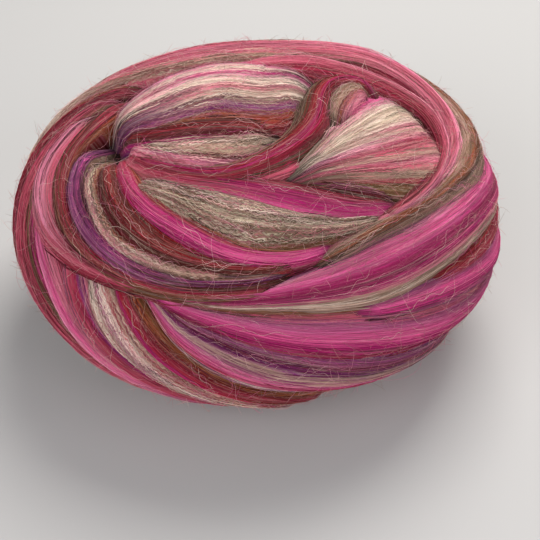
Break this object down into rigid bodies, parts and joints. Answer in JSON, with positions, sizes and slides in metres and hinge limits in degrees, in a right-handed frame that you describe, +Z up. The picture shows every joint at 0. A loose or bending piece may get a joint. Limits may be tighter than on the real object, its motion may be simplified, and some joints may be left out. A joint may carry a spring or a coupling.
{
  "type": "wool roving ball",
  "caption": "Soft low round bun of combed wool roving, wound from one long loose rope of fibre, with broad twisted passes over the crown.",
  "frame": {"origin": "centre of the flat spot that the ball rests on", "axes": "+X to the ball's right along its longest extent, +Y to its back, +Z up through the crown; the twisted lower-left turns face -Y"},
  "size_m": [0.2188, 0.2075, 0.1227],
  "materials": {
    "wool_roving": "matte"
  },
  "bodies": {
    "root": {"roving_ball": "wool_roving"}
  },
  "joints": []
}
